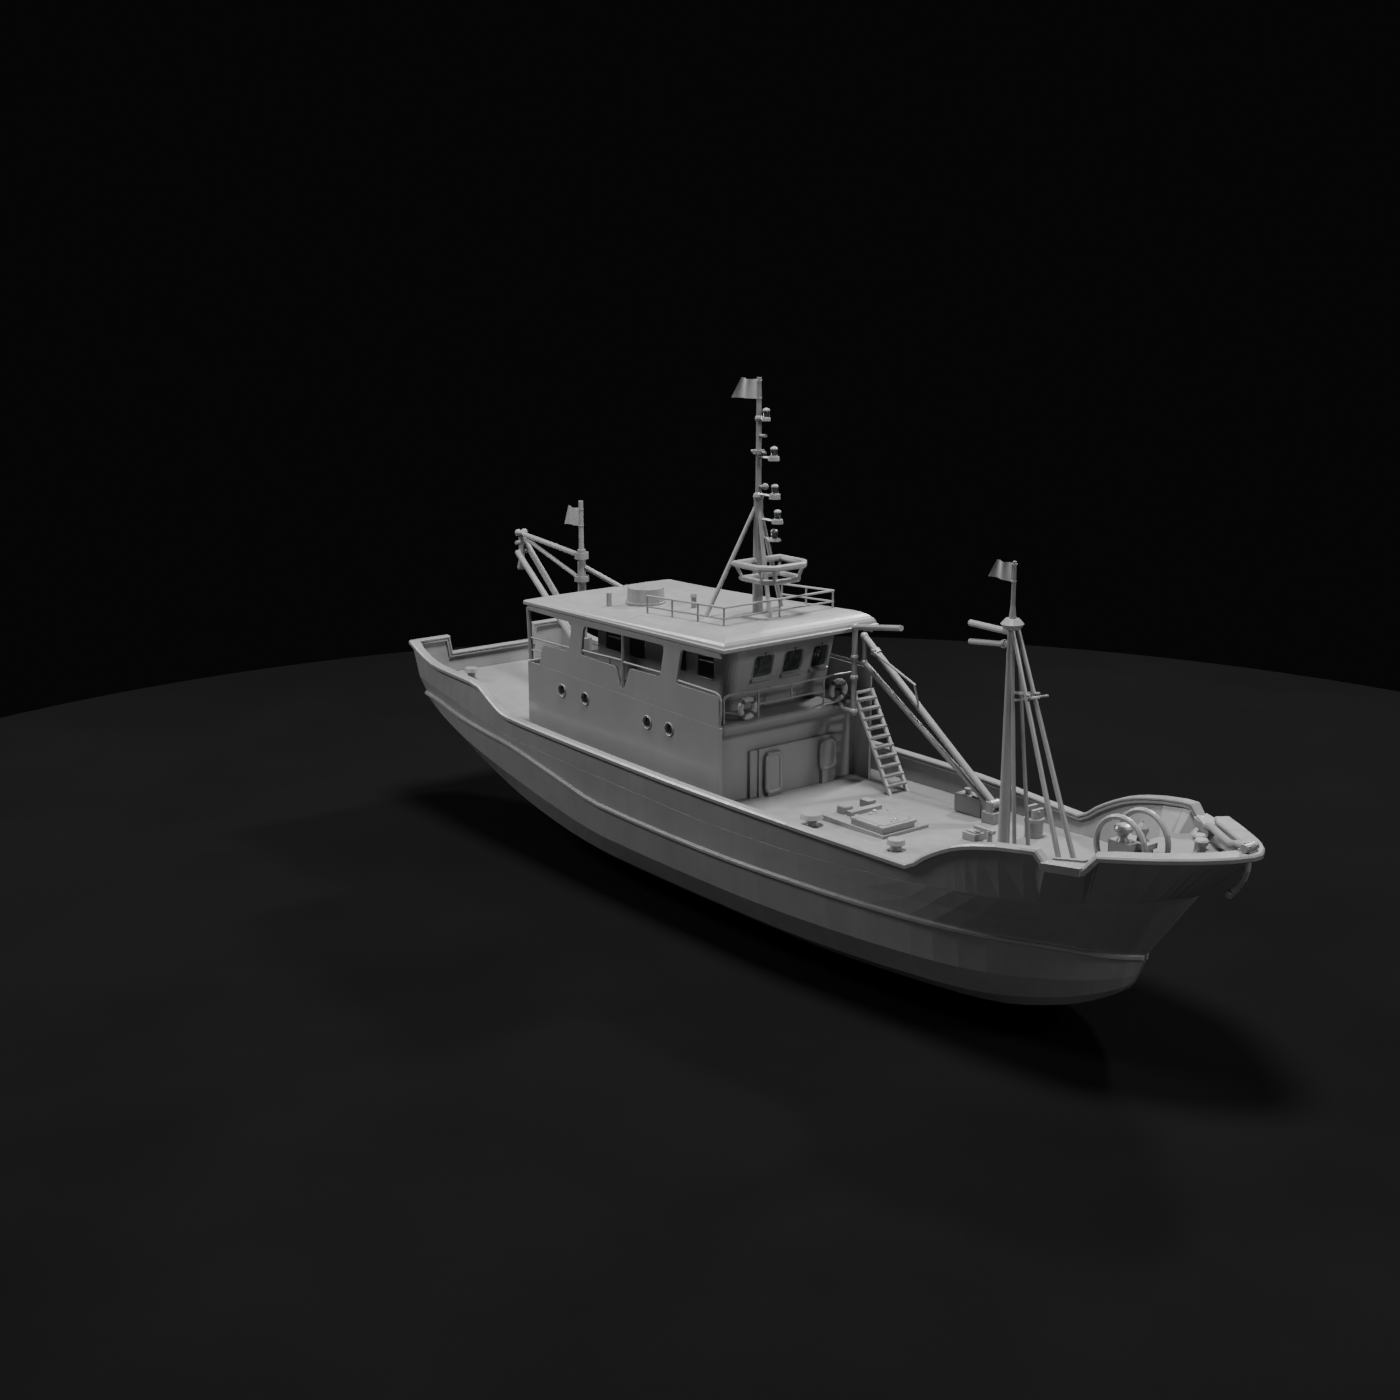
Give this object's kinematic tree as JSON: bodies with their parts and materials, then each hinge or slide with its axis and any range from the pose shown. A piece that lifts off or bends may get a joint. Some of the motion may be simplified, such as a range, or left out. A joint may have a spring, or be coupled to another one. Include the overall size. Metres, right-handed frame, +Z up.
{
  "type": "fishing boat",
  "caption": "Steel fishing boat with a two-level deckhouse, bulwarks, tripod mast, fore mast with cargo boom, aft slewing derrick, windlass, rudder and propeller.",
  "frame": {"origin": "on the centreline at midships, on the load waterline", "axes": "+X to the bow, +Y to port, +Z up"},
  "size_m": [32.3262, 7.56, 15.4814],
  "materials": {
    "hull_paint": "semi-gloss marine paint, neutral grey",
    "house_paint": "semi-gloss marine paint, light neutral grey",
    "deck_paint": "matt anti-slip deck paint, neutral grey",
    "painted_steel": "semi-gloss paint on steel fittings, neutral grey",
    "bronze": "dull cast bronze"
  },
  "bodies": {
    "vessel": {"hull": "hull_paint", "bulwark_stern": "hull_paint", "bulwark_stbd": "hull_paint", "bulwark_port": "hull_paint", "bulwark_bow": "hull_paint", "skeg": "hull_paint", "deckhouse": "house_paint", "front_casing": "house_paint", "house_wall_stbd": "house_paint", "house_wall_port": "house_paint", "screen_stbd": "house_paint", "screen_port": "house_paint", "roof": "house_paint", "wheelhouse_front": "house_paint", "wheelhouse_side_stbd": "house_paint", "wheelhouse_side_port": "house_paint", "wheelhouse_aft": "house_paint", "upper_deck": "deck_paint", "foredeck": "deck_paint", "console": "painted_steel", "front_railing": "painted_steel", "lifebuoy_stbd": "painted_steel", "lifebuoy_port": "painted_steel", "roof_railing": "painted_steel", "skylight": "painted_steel", "roof_vent_fore": "painted_steel", "roof_vent_aft": "painted_steel", "main_mast": "painted_steel", "fore_mast": "painted_steel", "boom_crutch": "painted_steel", "boom_pedestal": "painted_steel", "aft_post": "painted_steel", "windlass_base": "painted_steel", "hoop_stbd": "painted_steel", "hoop_port": "painted_steel", "anchor_davit": "painted_steel", "anchor": "painted_steel", "deck_box": "painted_steel", "hatch_coaming": "painted_steel", "ladder": "painted_steel", "bitt_stbd_aft": "painted_steel", "bitt_stbd_fore": "painted_steel", "bollard_port": "painted_steel", "bow_bitt": "painted_steel", "stern_bitt_stbd": "painted_steel", "stern_bitt_port": "painted_steel", "winch_box": "painted_steel", "tee_cleat": "painted_steel"},
    "propeller": {"propeller": "bronze"},
    "rudder": {"rudder": "hull_paint"},
    "hatch_lid": {"hatch_lid": "painted_steel"},
    "fore_boom": {"fore_boom": "painted_steel"},
    "aft_derrick": {"aft_derrick": "painted_steel"},
    "house_door": {"house_door": "house_paint"},
    "wheelhouse_door": {"wheelhouse_door": "house_paint"},
    "capstan_stbd": {"capstan_stbd": "painted_steel"},
    "capstan_port": {"capstan_port": "painted_steel"}
  },
  "joints": [
    {"name": "propeller_spin", "type": "hinge", "parent": "vessel", "child": "propeller", "pos_m": [-11.05, 0, -1.97], "axis": [1, 0, 0], "continuous": true},
    {"name": "rudder_turn", "type": "hinge", "parent": "vessel", "child": "rudder", "pos_m": [-12.02, 0, -1], "axis": [0, 0, 1], "range_deg": [-35, 35]},
    {"name": "hatch_lid_hinge", "type": "hinge", "parent": "vessel", "child": "hatch_lid", "pos_m": [3.56, -0.41, 1.44], "axis": [0, -1, 0], "range_deg": [0, 110]},
    {"name": "fore_boom_heel", "type": "hinge", "parent": "vessel", "child": "fore_boom", "pos_m": [5.8, 2.3, 1.72], "axis": [0, 1, 0], "range_deg": [0, 50]},
    {"name": "aft_derrick_slew", "type": "hinge", "parent": "vessel", "child": "aft_derrick", "pos_m": [-10.5, 0, 3.45], "axis": [0, 0, 1], "range_deg": [-60, 60]},
    {"name": "house_door_hinge", "type": "hinge", "parent": "vessel", "child": "house_door", "pos_m": [-9.4258, 0.39, 1.5], "axis": [0, 0, 1], "range_deg": [-110, 0]},
    {"name": "wheelhouse_door_hinge", "type": "hinge", "parent": "vessel", "child": "wheelhouse_door", "pos_m": [-7.2358, 0.39, 3.9], "axis": [0, 0, 1], "range_deg": [-110, 0]},
    {"name": "capstan_stbd_spin", "type": "hinge", "parent": "vessel", "child": "capstan_stbd", "pos_m": [12.3, -0.2, 2.86], "axis": [0, 0, 1], "continuous": true},
    {"name": "capstan_port_spin", "type": "hinge", "parent": "vessel", "child": "capstan_port", "pos_m": [12.54, 0.19, 2.86], "axis": [0, 0, 1], "continuous": true}
  ]
}
